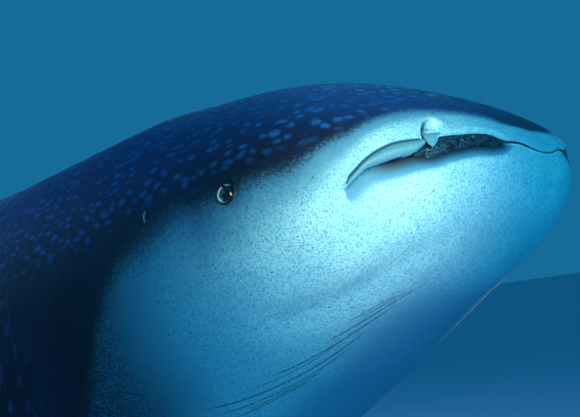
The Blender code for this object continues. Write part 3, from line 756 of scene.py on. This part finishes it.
# the nostril flaps: their grey colour, an even light painted shade, and a painted highlight along their sides and
# lower end
flapReach = nearest(straight, flapPoints)[1]
for hand in (1.0, -1.0):
    c, aft, upDir, face = localFrame(flapShape["to"][0], flapShape["to"][1] + 5.5, hand)
    on = (flapReach < .0003) & (straight[:, 1] * hand > 0)
    a, b = np.abs((straight - c) @ aft), (straight - c) @ upDir
    dark, grey = np.where(on, .22, dark), np.where(on, .95, grey)
    rimHighlight = np.maximum(ramp(a, .0125, .0160) * (1 - ramp(b, -.010, .002)), 1 - ramp(b, -.030, -.024))
    pale = np.where(on, .75 * rimHighlight * (1 - ramp(b, .004, .014)), pale)
tone = skin.data.color_attributes.new("tone", "FLOAT_COLOR", "POINT")
tone.data.foreach_set("color", np.stack([back, onFin, dark, pale], -1).astype(np.float32).ravel())
place = skin.data.attributes.new("place", "FLOAT_VECTOR", "POINT")
place.data.foreach_set("vector", np.stack([s, el, grey], -1).astype(np.float32).ravel())

cell = profile([0, .05, .12, .25, .8, 1.0], [.024, .026, .048, .115, .120, .100])
grain = np.linspace(0, 1.05, 400)
along = np.concatenate([[0], np.cumsum(np.diff(grain) * size / cell((grain[1:] + grain[:-1]) / 2))])
sAll = -straight[:, 0] / size
w, hu, hl = section(np.clip(sAll, .02, .80))
girth = np.radians(90 - el) * (w + hu) / 2 * size
across = np.where(straight[:, 1] >= 0, 1, -1) * girth
across = across * (1 - onFin) + np.hypot(straight[:, 1], straight[:, 2]) * onFin
flow = np.stack([np.interp(sAll, grain, along), across / cell(sAll)], -1)
uv = skin.data.uv_layers.new(name="flow")
loops = np.empty(len(skin.data.loops), np.int32)
skin.data.loops.foreach_get("vertex_index", loops)
uv.data.foreach_set("uv", flow[loops].astype(np.float32).ravel())

bpy.ops.object.select_all(action="DESELECT")
bpy.context.view_layer.objects.active = skin
skin.select_set(True)
bpy.ops.object.shade_smooth_by_angle(angle=math.radians(50))
fleshNodes = [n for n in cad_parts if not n.startswith(("stand_", "eye_"))]
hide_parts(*fleshNodes)
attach(skin, "root")


# ---- dark inner band of the mouth, in soft folds behind the lips
bandShape = {"from": .150, "to": .356, "rows": 110, "around": 22, "sunk": .0085, "deep": .0042, "over": .0030,
             "fold": .0022}


def mouthBand(hand):
    f = bandShape
    rings = []
    for y in np.linspace(f["from"], f["to"], f["rows"]):
        i = int(np.argmin(np.abs(lipLine[:, 1] - y)))
        p = np.array([float(np.interp(y, lipLine[:, 1], lipLine[:, 0])), y, float(mouthHeight(y))])
        along = lipLine[min(i + 1, 300)] - lipLine[i - 1]
        out = np.array([along[1], -along[0], 0]) / np.linalg.norm(along[:2])
        half = openingAt(y) / 2 + f["over"]
        ring = []
        for turn in np.linspace(0, 2 * math.pi, f["around"], endpoint=False):
            x, z = math.cos(turn), math.sin(turn)
            wave = f["fold"] * (math.sin(y * 95 + z * 4.5) + .6 * math.sin(y * 210 - z * 7 + 1.3)) * max(x, 0)
            ring.append(p + out * (f["deep"] * x - f["sunk"] + wave) + np.array([0, 0, half * z]))
        rings.append(np.array(ring) * (1, hand, 1))
    piece = rolled("band", rings)
    return piece


mouthInner = joined([mouthBand(1.0), mouthBand(-1.0)], "mouth_band")
inner = verticesOf(mouthInner)
setVertices(mouthInner, posed(inner) + offset)
bpy.ops.object.shade_smooth()
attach(mouthInner, "root")


# ---- materials
def nodesOf(material):
    material.use_nodes = True
    tree = material.node_tree
    return tree, tree.nodes["Principled BSDF"]


def add(tree, kind, at=None, **values):
    node = tree.nodes.new(kind)
    for key, value in values.items():
        if key in node.inputs.keys():
            node.inputs[key].default_value = value
        else:
            setattr(node, key, value)
    return node


def math2(tree, operation, a, b=None, c=None):
    node = tree.nodes.new("ShaderNodeMath")
    node.operation = operation
    for socket, value in zip(node.inputs, (a, b, c)):
        if value is None:
            continue
        if isinstance(value, (int, float)):
            socket.default_value = value
        else:
            tree.links.new(value, socket)
    return node.outputs[0]


def rangeOf(tree, value, low, high, to0=0.0, to1=1.0):
    node = tree.nodes.new("ShaderNodeMapRange")
    node.interpolation_type = "SMOOTHSTEP"
    tree.links.new(value, node.inputs["Value"])
    for name, number in (("From Min", low), ("From Max", high), ("To Min", to0), ("To Max", to1)):
        node.inputs[name].default_value = number
    return node.outputs["Result"]


def blend(tree, factor, a, b):
    node = tree.nodes.new("ShaderNodeMix")
    node.data_type = "RGBA"
    ins = [i for i in node.inputs if i.enabled]
    for socket, value in zip(ins, (factor, a, b)):
        if isinstance(value, (int, float)):
            socket.default_value = value
        elif isinstance(value, tuple):
            socket.default_value = (*value, 1.0)
        else:
            tree.links.new(value, socket)
    return [o for o in node.outputs if o.enabled][0]


# colours of the hide: the top colour is a painted lighter blue for light from above on the upper back, the throat
# colour is painted shade on the underside, the flank colours are partly the flank's own dark and partly painted
# shade, the shade colour and the dark marks' colour are painted shade, and the pale marks' colour is painted
# highlight
hide = {"backDeep": (.0034, .0058, .017), "backWarm": (.0064, .012, .036), "top": (.008, .031, .125),
        "spot": (.014, .105, .33), "trunk": (.016, .032, .060), "trunkSpot": (.22, .33, .41),
        "mid": (.060, .200, .30), "belly": (.52, .80, .80), "bellyShade": (.37, .66, .68),
        "throat": (.17, .31, .42), "bellyAft": (.60, .72, .74), "flank": (.150, .35, .43), "flankDeep": (.014, .014, .019),
        "pore": (.015, .045, .065), "fold": (.10, .25, .29), "dark": (.003, .005, .009), "pale": (.80, .95, .95),
        "bar": (.085, .14, .19), "shade": (.040, .185, .29)}


def scaled(tree, vector, scale, turn=0.0):
    node = add(tree, "ShaderNodeMapping", Scale=scale, Rotation=(0, 0, turn))
    tree.links.new(vector, node.inputs["Vector"])
    return node.outputs[0]


def noiseOf(tree, vector, scale, detail=4.0, rough=.6):
    node = add(tree, "ShaderNodeTexNoise", Scale=scale, Detail=detail, Roughness=rough)
    tree.links.new(vector, node.inputs["Vector"])
    return node


def cellsOf(tree, vector, scale, random, flat=False):
    node = add(tree, "ShaderNodeTexVoronoi", Scale=scale, Randomness=random)
    node.voronoi_dimensions = "2D" if flat else "3D"
    tree.links.new(vector, node.inputs["Vector"])
    pick = add(tree, "ShaderNodeSeparateColor")
    tree.links.new(node.outputs["Color"], pick.inputs[0])
    return node.outputs["Distance"], pick.outputs[0]


def times(tree, *values):
    out = values[0]
    for value in values[1:]:
        out = math2(tree, "MULTIPLY", out, value)
    return out


# one soft line on the skin, told by its two ends in station and angle
def creaseMask(tree, s, el, line):
    s0, el0, s1, el1, bow, half = line
    t = math2(tree, "DIVIDE", math2(tree, "SUBTRACT", s, s0), s1 - s0)
    arch = times(tree, t, math2(tree, "SUBTRACT", 1.0, t), 4.0 * bow)
    level = math2(tree, "ADD", math2(tree, "MULTIPLY_ADD", t, el1 - el0, el0), arch)
    away = math2(tree, "ABSOLUTE", math2(tree, "SUBTRACT", el, level))
    return times(tree, rangeOf(tree, away, half, half * .15), rangeOf(tree, t, 0, .18),
                 rangeOf(tree, t, 1, .78))


def hideMaterial(material):
    tree, shader = nodesOf(material)
    link = tree.links.new
    attr = add(tree, "ShaderNodeAttribute", attribute_name="tone")
    split = add(tree, "ShaderNodeSeparateColor")
    link(attr.outputs["Color"], split.inputs[0])
    back, dark, pale = split.outputs[0], split.outputs[2], attr.outputs["Alpha"]
    placed = add(tree, "ShaderNodeAttribute", attribute_name="place")
    where = add(tree, "ShaderNodeSeparateXYZ")
    link(placed.outputs["Vector"], where.inputs[0])
    s, el, grey = where.outputs
    spot = add(tree, "ShaderNodeTexCoord").outputs["Object"]
    flowMap = add(tree, "ShaderNodeUVMap", uv_map="flow").outputs[0]
    broad, fine = noiseOf(tree, spot, 8.0, 6.0), noiseOf(tree, spot, 150.0, 3.0, .7)
    speckle = noiseOf(tree, spot, 330.0, 2.0, .8).outputs[0]
    grain = cellsOf(tree, spot, 430.0, 1.0)[1]
    # back and belly meet in a wide, finely speckled edge
    edge = math2(tree, "MULTIPLY_ADD", math2(tree, "SUBTRACT", broad.outputs[0], .5), .26, back)
    edge = math2(tree, "MULTIPLY_ADD", math2(tree, "SUBTRACT", fine.outputs[0], .5), .34, edge)
    edge = math2(tree, "MULTIPLY_ADD", math2(tree, "SUBTRACT", speckle, .5), .50, edge)
    # soft spots: scattered on the head, in rows between thin bars on the trunk
    wobble = add(tree, "ShaderNodeVectorMath", operation="MULTIPLY_ADD")
    link(noiseOf(tree, spot, 14.0, 3.0).outputs["Color"], wobble.inputs[0])
    wobble.inputs[1].default_value = (.030, .030, .030)
    link(spot, wobble.inputs[2])
    away, pick = cellsOf(tree, scaled(tree, wobble.outputs[0], (58, 37, 58), .06), 1.0, .75)
    headSpots = rangeOf(tree, math2(tree, "MULTIPLY_ADD", pick, -.14, away), .42, .06)
    rows = add(tree, "ShaderNodeVectorMath", operation="MULTIPLY_ADD")
    link(noiseOf(tree, spot, 5.0, 3.0).outputs["Color"], rows.inputs[0])
    rows.inputs[1].default_value = (.55, .55, 0)
    link(flowMap, rows.inputs[2])
    away, pick = cellsOf(tree, rows.outputs[0], 1.0, .42, True)
    trunkSpots = rangeOf(tree, math2(tree, "MULTIPLY_ADD", pick, -.10, away), .22, .10)
    line = add(tree, "ShaderNodeSeparateXYZ")
    link(rows.outputs[0], line.inputs[0])
    bars = math2(tree, "ABSOLUTE", math2(tree, "SUBTRACT", math2(tree, "FRACT", line.outputs[0]), .5))
    bars = times(tree, rangeOf(tree, bars, .42, .47), rangeOf(tree, broad.outputs[0], .36, .50), .60)
    onTrunk = rangeOf(tree, s, .11, .15)
    headSpots = times(tree, headSpots, math2(tree, "SUBTRACT", 1.0, onTrunk), rangeOf(tree, s, .004, .016),
                      rangeOf(tree, el, 9, 22))
    trunkSpots = times(tree, trunkSpots, onTrunk)
    spots = times(tree, math2(tree, "MAXIMUM", headSpots, trunkSpots), rangeOf(tree, edge, .70, 1.05))
    bars = times(tree, bars, onTrunk, rangeOf(tree, edge, .55, .95))
    deep = blend(tree, rangeOf(tree, broad.outputs[0], .35, .7), hide["backDeep"], hide["backWarm"])
    # painted light: the upper back is painted a lighter blue, as light from above falls on it
    deep = blend(tree, times(tree, rangeOf(tree, el, 12, 38), rangeOf(tree, fine.outputs[0], .15, .75, .6, 1.0)),
                 deep, hide["top"])
    aft = math2(tree, "MAXIMUM", rangeOf(tree, s, .12, .26), rangeOf(tree, el, 47, 66))
    deep = blend(tree, aft, deep, hide["trunk"])
    deep = blend(tree, bars, deep, hide["bar"])
    spotColour = blend(tree, aft, hide["spot"], hide["trunkSpot"])
    deep = blend(tree, times(tree, spots, rangeOf(tree, speckle, .30, .62, .60, 1.0)), deep, spotColour)
    # belly: mottled, speckled and set with small pores, darker along the flank, partly its own colour and partly
    # painted shade
    belly = blend(tree, rangeOf(tree, broad.outputs[0], .40, .66), hide["bellyShade"], hide["belly"])
    # painted shade: the throat's underside is painted darker, where little light comes from below
    underShade = times(tree, rangeOf(tree, el, -50, -74), rangeOf(tree, s, .016, .042))
    belly = blend(tree, underShade, belly, hide["throat"])
    # towards the back the belly turns bluer, partly its own colour grading into the back and partly painted shade
    belly = blend(tree, rangeOf(tree, edge, -.80, .35, 0, .42), belly, hide["mid"])
    # painted shade on the upper cheek next to the back, near the snout
    nearBackShade = times(tree, rangeOf(tree, back, 0, .30), rangeOf(tree, s, .006, .012),
                     rangeOf(tree, s, .022, .036, .84, .42))
    belly = blend(tree, nearBackShade, belly, hide["mid"])
    belly = blend(tree, grey, belly, hide["fold"])
    # the flank behind the head turns dark: partly the animal's dark flank, partly painted shade where the light
    # falls off
    flankShade = times(tree, rangeOf(tree, s, .030, .110), rangeOf(tree, el, -72, -28), rangeOf(tree, s, .26, .15))
    belly = blend(tree, rangeOf(tree, flankShade, 0, .62), belly, hide["flank"])
    belly = blend(tree, rangeOf(tree, flankShade, .38, .95), belly, hide["flankDeep"])
    belly = blend(tree, rangeOf(tree, s, .13, .24), belly, hide["bellyAft"])
    belly = blend(tree, rangeOf(tree, speckle, .48, .74, 0, .60), belly, hide["mid"])
    belly = blend(tree, rangeOf(tree, grain, .45, 1.0, 0, .68), belly, hide["mid"])
    away, pick = cellsOf(tree, spot, 88.0, 1.0)
    pores = rangeOf(tree, math2(tree, "MULTIPLY_ADD", rangeOf(tree, pick, .30, 1.0), -.17, away), .02, -.07)
    belly = blend(tree, times(tree, pores, .90), belly, hide["pore"])
    between = blend(tree, rangeOf(tree, flankShade, .10, .70), hide["mid"], hide["flankDeep"])
    colour = blend(tree, rangeOf(tree, edge, .18, .55), belly, between)
    colour = blend(tree, rangeOf(tree, edge, .42, .80), colour, deep)
    # painted shade: the throat creases are painted as dark lines, with a bump
    folds = None
    for crease in creases:
        mask = creaseMask(tree, s, el, crease)
        folds = mask if folds is None else math2(tree, "MAXIMUM", folds, mask)
    folds = times(tree, folds, rangeOf(tree, fine.outputs[0], .30, .62, .35, 1.0))
    colour = blend(tree, times(tree, folds, .86), colour, hide["dark"])
    # the shade under the lips passes through blue
    byMouth = rangeOf(tree, s, .036, .028)
    colour = blend(tree, times(tree, rangeOf(tree, dark, 0, .55), byMouth), colour, hide["shade"])
    # then the painted shade of the marks: mouth line, creases, slits, socket and holes
    darkness = math2(tree, "MULTIPLY_ADD", byMouth, rangeOf(tree, dark, .40, 1, -1, 0), 1.0)
    colour = blend(tree, times(tree, dark, darkness), colour, hide["dark"])
    # painted highlights on the lips, nostrils, eyes, spiracles and flaps
    colour = blend(tree, pale, colour, hide["pale"])
    link(colour, shader.inputs["Base Color"])
    link(rangeOf(tree, fine.outputs[0], .2, .8, .46, .66), shader.inputs["Roughness"])
    shader.inputs["Specular IOR Level"].default_value = .28
    # sandpaper grain, pores and creases
    height = math2(tree, "MULTIPLY_ADD", pores, -.5, math2(tree, "MULTIPLY", speckle, .7))
    height = math2(tree, "MULTIPLY_ADD", folds, -2.4, height)
    bump = add(tree, "ShaderNodeBump", Strength=.35, Distance=.0024)
    link(height, bump.inputs["Height"])
    link(bump.outputs[0], shader.inputs["Normal"])


hideMaterial(skinSlot)
tree, shader = nodesOf(mouthSlot)
coord = add(tree, "ShaderNodeTexCoord")
noise = add(tree, "ShaderNodeTexNoise", Scale=45.0, Detail=5.0)
tree.links.new(coord.outputs["Object"], noise.inputs["Vector"])
tree.links.new(blend(tree, rangeOf(tree, noise.outputs[0], .4, .7), (.006, .012, .020), (.030, .055, .075)),
               shader.inputs["Base Color"])
shader.inputs["Roughness"].default_value = .45

# slate folds of the band, with thin painted highlights where the skin turns over
bandMaterial = bpy.data.materials.new("mouthBand")
tree, shader = nodesOf(bandMaterial)
spot = add(tree, "ShaderNodeTexCoord").outputs["Object"]
broad, fine = noiseOf(tree, spot, 16.0, 2.0).outputs[0], noiseOf(tree, spot, 90.0, 4.0).outputs[0]
slate = blend(tree, rangeOf(tree, fine, .35, .70), (.004, .008, .017), (.014, .038, .070))
thin = rangeOf(tree, math2(tree, "ABSOLUTE", math2(tree, "SUBTRACT", broad, .52)), .008, .001)
slate = blend(tree, times(tree, thin, .30), slate, (.30, .44, .50))
tree.links.new(slate, shader.inputs["Base Color"])
tree.links.new(rangeOf(tree, fine, .3, .7, .22, .42), shader.inputs["Roughness"])
bump = add(tree, "ShaderNodeBump", Strength=.4, Distance=.002)
tree.links.new(fine, bump.inputs["Height"])
tree.links.new(bump.outputs[0], shader.inputs["Normal"])
mouthInner.data.materials.append(bandMaterial)

# ---- eyes
eyeLook = {"ball": (.004, .005, .007), "iris": (.020, .030, .038)}
eyeMaterial = bpy.data.materials.new("eyeGloss")
tree, shader = nodesOf(eyeMaterial)
ring = add(tree, "ShaderNodeAttribute", attribute_name="ring")
tree.links.new(blend(tree, rangeOf(tree, ring.outputs["Fac"], .50, .56), eyeLook["ball"], eyeLook["iris"]),
               shader.inputs["Base Color"])
shader.inputs["Roughness"].default_value = .08
shader.inputs["Coat Weight"].default_value = .6
for name, hand in (("eye_left", 1.0), ("eye_right", -1.0)):
    c, aft, upDir, face = localFrame(eye["at"], eye["angle"], hand)
    bpy.ops.object.select_all(action="DESELECT")
    bpy.ops.mesh.primitive_uv_sphere_add(segments=48, ring_count=32, radius=1)
    ball = bpy.context.active_object
    ball.name = name + "_ball"
    q = verticesOf(ball)
    cornea = .0012 * np.exp(-(np.arccos(np.clip(q[:, 2], -1, 1)) / .55) ** 2)
    radius = eye["radius"] - .0006 + cornea
    straightEye = (c - face * eye["sunk"]) + radius[:, None] * (
        q[:, :1] * aft + q[:, 1:2] * upDir + q[:, 2:] * face)
    ringData = ball.data.attributes.new("ring", "FLOAT", "POINT")
    ringData.data.foreach_set("value", (np.arccos(np.clip(q[:, 2], -1, 1)) / 1.2).astype(np.float32))
    setVertices(ball, posed(straightEye) + offset)
    bpy.ops.object.mode_set(mode="EDIT")
    bpy.ops.mesh.select_all(action="SELECT")
    bpy.ops.mesh.normals_make_consistent(inside=False)
    bpy.ops.object.mode_set(mode="OBJECT")
    bpy.ops.object.shade_smooth()
    ball.data.materials.append(eyeMaterial)
    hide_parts(name)
    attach(ball, "root")

# ---- stand finishes
paint = bpy.data.materials.new("standPaint")
tree, shader = nodesOf(paint)
coord = add(tree, "ShaderNodeTexCoord")
noise = add(tree, "ShaderNodeTexNoise", Scale=60.0, Detail=4.0)
tree.links.new(coord.outputs["Object"], noise.inputs["Vector"])
tree.links.new(rangeOf(tree, noise.outputs[0], .3, .7, .40, .50), shader.inputs["Roughness"])
tree.links.new(blend(tree, rangeOf(tree, noise.outputs[0], .3, .7), (.10, .105, .11), (.125, .13, .135)),
               shader.inputs["Base Color"])
steel = bpy.data.materials.new("standSteel")
tree, shader = nodesOf(steel)
coord = add(tree, "ShaderNodeTexCoord")
stretch = add(tree, "ShaderNodeMapping", Scale=(40, 40, 900))
noise = add(tree, "ShaderNodeTexNoise", Scale=1.0, Detail=3.0)
tree.links.new(coord.outputs["Object"], stretch.inputs["Vector"])
tree.links.new(stretch.outputs[0], noise.inputs["Vector"])
tree.links.new(rangeOf(tree, noise.outputs[0], .3, .7, .24, .38), shader.inputs["Roughness"])
shader.inputs["Base Color"].default_value = (.62, .63, .65, 1)
shader.inputs["Metallic"].default_value = 1.0
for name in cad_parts:
    if name.startswith("stand_"):
        node = bpy.data.objects[name]
        for slot in node.material_slots:
            slot.material = paint if name == "stand_base" else steel

# ---- floor, light and camera
bpy.ops.object.select_all(action="DESELECT")
bpy.ops.mesh.primitive_plane_add(size=120, location=(0, 0, -.001))
floor = bpy.context.active_object
floor.name = "floor"
floorMaterial = bpy.data.materials.new("paleFloor")
tree, shader = nodesOf(floorMaterial)
shader.inputs["Base Color"].default_value = (.42, .56, .64, 1)
shader.inputs["Roughness"].default_value = .8
floor.data.materials.append(floorMaterial)

world = bpy.data.worlds.new("studio")
bpy.context.scene.world = world
world.use_nodes = True
world.node_tree.nodes["Background"].inputs["Color"].default_value = (.02, .37, .80, 1)
world.node_tree.nodes["Background"].inputs["Strength"].default_value = .40
bpy.context.scene.view_settings.view_transform = "Standard"


def placed(name, data, at, towards):
    light = bpy.data.objects.new(name, data)
    bpy.context.collection.objects.link(light)
    back = np.array(at, float) - np.array(towards, float)
    back /= np.linalg.norm(back)
    side = np.cross((0, 0, 1.0) if abs(back[2]) < .98 else (1.0, 0, 0), back)
    side /= np.linalg.norm(side)
    upWay = np.cross(back, side)
    light.matrix_world = Matrix([[side[i], upWay[i], back[i], at[i]] for i in range(3)] + [[0, 0, 0, 1]])


def softLight(name, at, towards, power, width, colour=(1, 1, 1), specular=1.0):
    data = bpy.data.lights.new(name, "AREA")
    data.energy, data.size, data.color, data.specular_factor = power, width, colour, specular
    placed(name, data, at, towards)


def softSpot(name, at, towards, power, radius, cone, colour=(1, 1, 1), specular=1.0):
    data = bpy.data.lights.new(name, "SPOT")
    data.energy, data.shadow_soft_size, data.color, data.specular_factor = power, radius, colour, specular
    data.spot_size, data.spot_blend = math.radians(cone), 1.0
    placed(name, data, at, towards)


view = {"at": (.43511374, -1.4140408, -.26027748), "right": (.74127944, .61810893, -.26162215),
        "up": (.32783576, .00669691, .944711), "ahead": (-.58568636, .78606393, .19767392),
        "lens": 36 * 742.9462 / 580}
turnOnly = lambda v: posed(np.array(v, float)[None])[0]
cameraAt = turnOnly(view["at"]) + offset
right, above, ahead = (turnOnly(view[k]) for k in ("right", "up", "ahead"))
camera = bpy.data.objects.new("camera", bpy.data.cameras.new("camera"))
bpy.context.collection.objects.link(camera)
camera.data.lens, camera.data.sensor_width = view["lens"], 36
camera.data.clip_start, camera.data.clip_end = .05, 300
camera.matrix_world = Matrix([[right[i], above[i], -ahead[i], cameraAt[i]] for i in range(3)] + [[0, 0, 0, 1]])
bpy.context.scene.camera = camera
print("camera", cameraAt)

inRoom = lambda v: turnOnly(v) + offset
cheek = inRoom(flank(np.array([.0175]), np.array([-21.0]), np.array([-1.0]))[0])
softSpot("key", inRoom((.56, -1.02, -.24)), cheek, 64, .12, 26, (1, .95, .80), 0)
softSpot("keyWide", inRoom((.42, -1.00, .10)), cheek, 17, .14, 50, (.80, 1, .30), 0)
softLight("front", inRoom((1.5, -.55, .5)), inRoom((-.05, -.2, -.05)), 7, .9, (.02, .90, 1), .3)
softLight("frontLow", inRoom((1.2, -1.1, -.5)), inRoom((-.05, -.2, -.05)), 28, .8, (0, .52, 1), .3)
trunk = inRoom((-3.2, 0, 0))
softSpot("bodyRight", inRoom((-2.2, -3.2, 3.4)), trunk, 900, .6, 62, (.80, .92, 1), .4)
softSpot("bodyLeft", inRoom((-2.2, 3.2, 3.4)), trunk, 900, .6, 62, (.80, .92, 1), .4)
leftCheek = inRoom(flank(np.array([.05]), np.array([0.0]), np.array([1.0]))[0])
softSpot("cheekLeft", inRoom((-1.5, 2.6, -.15)), leftCheek, 110, .4, 40, (.75, .90, 1), .3)
softLight("hall", (3.5, -1.5, 7.5), (0, 0, 1.4), 150, 6.0, (.02, .30, 1), .3)
softLight("hallBack", (-4.5, 3.5, 6.0), (0, 0, 1.4), 90, 5.0, (.06, .45, 1), .3)
